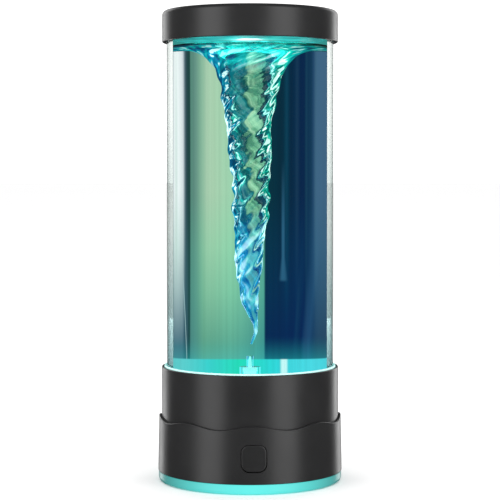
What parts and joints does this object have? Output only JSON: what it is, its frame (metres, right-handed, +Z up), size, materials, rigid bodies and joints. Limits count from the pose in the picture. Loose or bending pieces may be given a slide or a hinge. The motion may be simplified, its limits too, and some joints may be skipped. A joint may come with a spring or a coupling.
{
  "type": "tornado lamp",
  "caption": "Water-filled clear tube between a black cap and a black base, where a magnet-driven impeller draws a lit, twisted vortex",
  "frame": {"origin": "on the tube's axis, at the standing face of the rubber feet", "axes": "+Z up along the tube, -Y towards the power button, +Y towards the USB socket"},
  "size_m": [0.1218, 0.1218, 0.3096],
  "materials": {
    "black_plastic": "satin moulded black",
    "dark_plastic": "moulded, dark",
    "clear_acrylic": "clear, polished",
    "water_body": "clear water lit cyan and green",
    "pale_guide": "clouded, lit",
    "cyan_guide": "clouded light guide, lit cyan",
    "white_plastic": "moulded white",
    "grey_rubber": "matte",
    "clear_rubber": "silicone, clouded",
    "steel": "plated steel",
    "nickel": "nickel-plated magnet",
    "green_board": "circuit board",
    "white_board": "white circuit board"
  },
  "bodies": {
    "base": {"tank_tube": "clear_acrylic", "seat_ring": "pale_guide", "tank_floor": "clear_acrylic", "pivot_pin": "steel", "base_collar": "black_plastic", "base_skirt": "black_plastic", "light_ring": "cyan_guide", "ring_led_board": "white_board", "tank_led_board": "white_board", "bottom_plate": "dark_plastic", "motor": "steel", "motor_bracket": "dark_plastic", "tact_switch": "dark_plastic", "switch_board": "green_board", "control_board": "green_board", "usb_socket": "steel", "foot_1": "grey_rubber", "foot_2": "grey_rubber", "foot_3": "grey_rubber", "foot_4": "grey_rubber", "base_screw_1": "steel", "base_screw_2": "steel", "base_screw_3": "steel", "base_screw_4": "steel", "board_screw_1": "steel", "board_screw_2": "steel", "board_screw_3": "steel", "board_screw_4": "steel", "bracket_screw_1": "steel", "bracket_screw_2": "steel", "bracket_screw_3": "steel", "motor_screw_1": "steel", "motor_screw_2": "steel"},
    "cap": {"top_cap": "black_plastic", "cap_gasket": "clear_rubber", "cap_reflector": "white_plastic"},
    "button": {"power_button": "black_plastic", "switch_plunger": "white_plastic"},
    "impeller_body": {"impeller": "pale_guide", "rotor_magnet_1": "nickel", "rotor_magnet_2": "nickel", "rotor_magnet_3": "nickel", "rotor_magnet_4": "nickel"},
    "drive": {"motor_shaft": "steel", "magnet_carrier": "white_plastic", "drive_magnet_1": "nickel", "drive_magnet_2": "nickel", "drive_magnet_3": "nickel", "drive_magnet_4": "nickel"},
    "water_body": {"water": "water_body"}
  },
  "joints": [
    {"name": "cap_lift", "type": "slide", "parent": "base", "child": "cap", "axis": [0, 0, 1], "range_m": [0, 0.06]},
    {"name": "button_press", "type": "slide", "parent": "base", "child": "button", "axis": [0, 1, 0], "range_m": [0, 0.0006], "stiffness_N_per_m": 900, "springref_m": -0.0002},
    {"name": "water_swirl", "type": "hinge", "parent": "base", "child": "water_body", "pos_m": [0, 0, 0], "axis": [0, 0, 1], "continuous": true},
    {"name": "impeller_spin", "type": "hinge", "parent": "base", "child": "impeller_body", "pos_m": [0, 0, 0.0621], "axis": [0, 0, 1], "continuous": true},
    {"name": "motor_spin", "type": "hinge", "parent": "base", "child": "drive", "pos_m": [0, 0, 0.05], "axis": [0, 0, 1], "continuous": true}
  ],
  "couplings": [
    {"joint": "impeller_spin", "follows": "water_swirl", "ratio": 1},
    {"joint": "motor_spin", "follows": "water_swirl", "ratio": 1}
  ]
}
